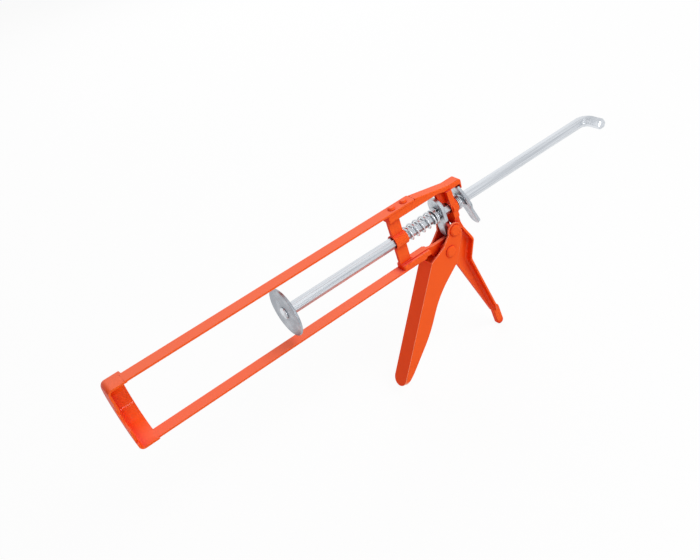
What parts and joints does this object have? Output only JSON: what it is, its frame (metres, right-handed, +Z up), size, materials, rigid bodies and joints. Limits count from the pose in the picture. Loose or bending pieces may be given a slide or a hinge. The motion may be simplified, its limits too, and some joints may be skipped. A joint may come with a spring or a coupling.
{
  "type": "caulking gun",
  "caption": "Open-frame caulking gun: cradle with rails, cast handle body, squeeze trigger, hexagonal push rod with pusher plate and release lever.",
  "frame": {"origin": "centre of the nozzle slot on the front plate's outer face, on the push rod's axis", "axes": "+X back along the push rod to its hook, +Z up and away from the handle, the cradle's open side faces -Y"},
  "size_m": [0.4566, 0.0475, 0.1706],
  "materials": {
    "orange_paint": "glossy orange-red enamel",
    "zinc_plated_steel": "bright zinc plating"
  },
  "bodies": {
    "frame": {"cradle": "orange_paint", "body": "orange_paint", "top_rail_rivets": "orange_paint", "bottom_rail_rivets": "orange_paint", "main_spring": "zinc_plated_steel", "release_spring": "zinc_plated_steel"},
    "rod": {"push_rod": "zinc_plated_steel", "pusher_plate": "zinc_plated_steel"},
    "trigger": {"trigger": "orange_paint", "trigger_pivot_rivet": "orange_paint", "drive_pin": "orange_paint"},
    "drive_plate": {"drive_plate": "zinc_plated_steel"},
    "release_lever": {"release_lever": "zinc_plated_steel"}
  },
  "joints": [
    {"name": "rod_slide", "type": "slide", "parent": "frame", "child": "rod", "axis": [1, 0, 0], "range_m": [-0.128, 0.0985]},
    {"name": "trigger_squeeze", "type": "hinge", "parent": "frame", "child": "trigger", "pos_m": [0.2798, 0, -0.033], "axis": [0, -1, 0], "range_deg": [0, 42], "stiffness_Nm_per_rad": 0.4, "springref_deg": -28.65},
    {"name": "drive_plate_slide", "type": "slide", "parent": "frame", "child": "drive_plate", "axis": [-1, 0, 0], "range_m": [0, 0.0128], "deforming": ["main_spring"]},
    {"name": "lever_release", "type": "hinge", "parent": "frame", "child": "release_lever", "pos_m": [0.301, 0, 0.01465], "axis": [0, 1, 0], "range_deg": [0, 12], "stiffness_Nm_per_rad": 0.08, "springref_deg": -22.92, "deforming": ["release_spring"]}
  ],
  "couplings": [
    {"joint": "drive_plate_slide", "follows": "trigger_squeeze", "m_per_rad": 0.0173}
  ]
}
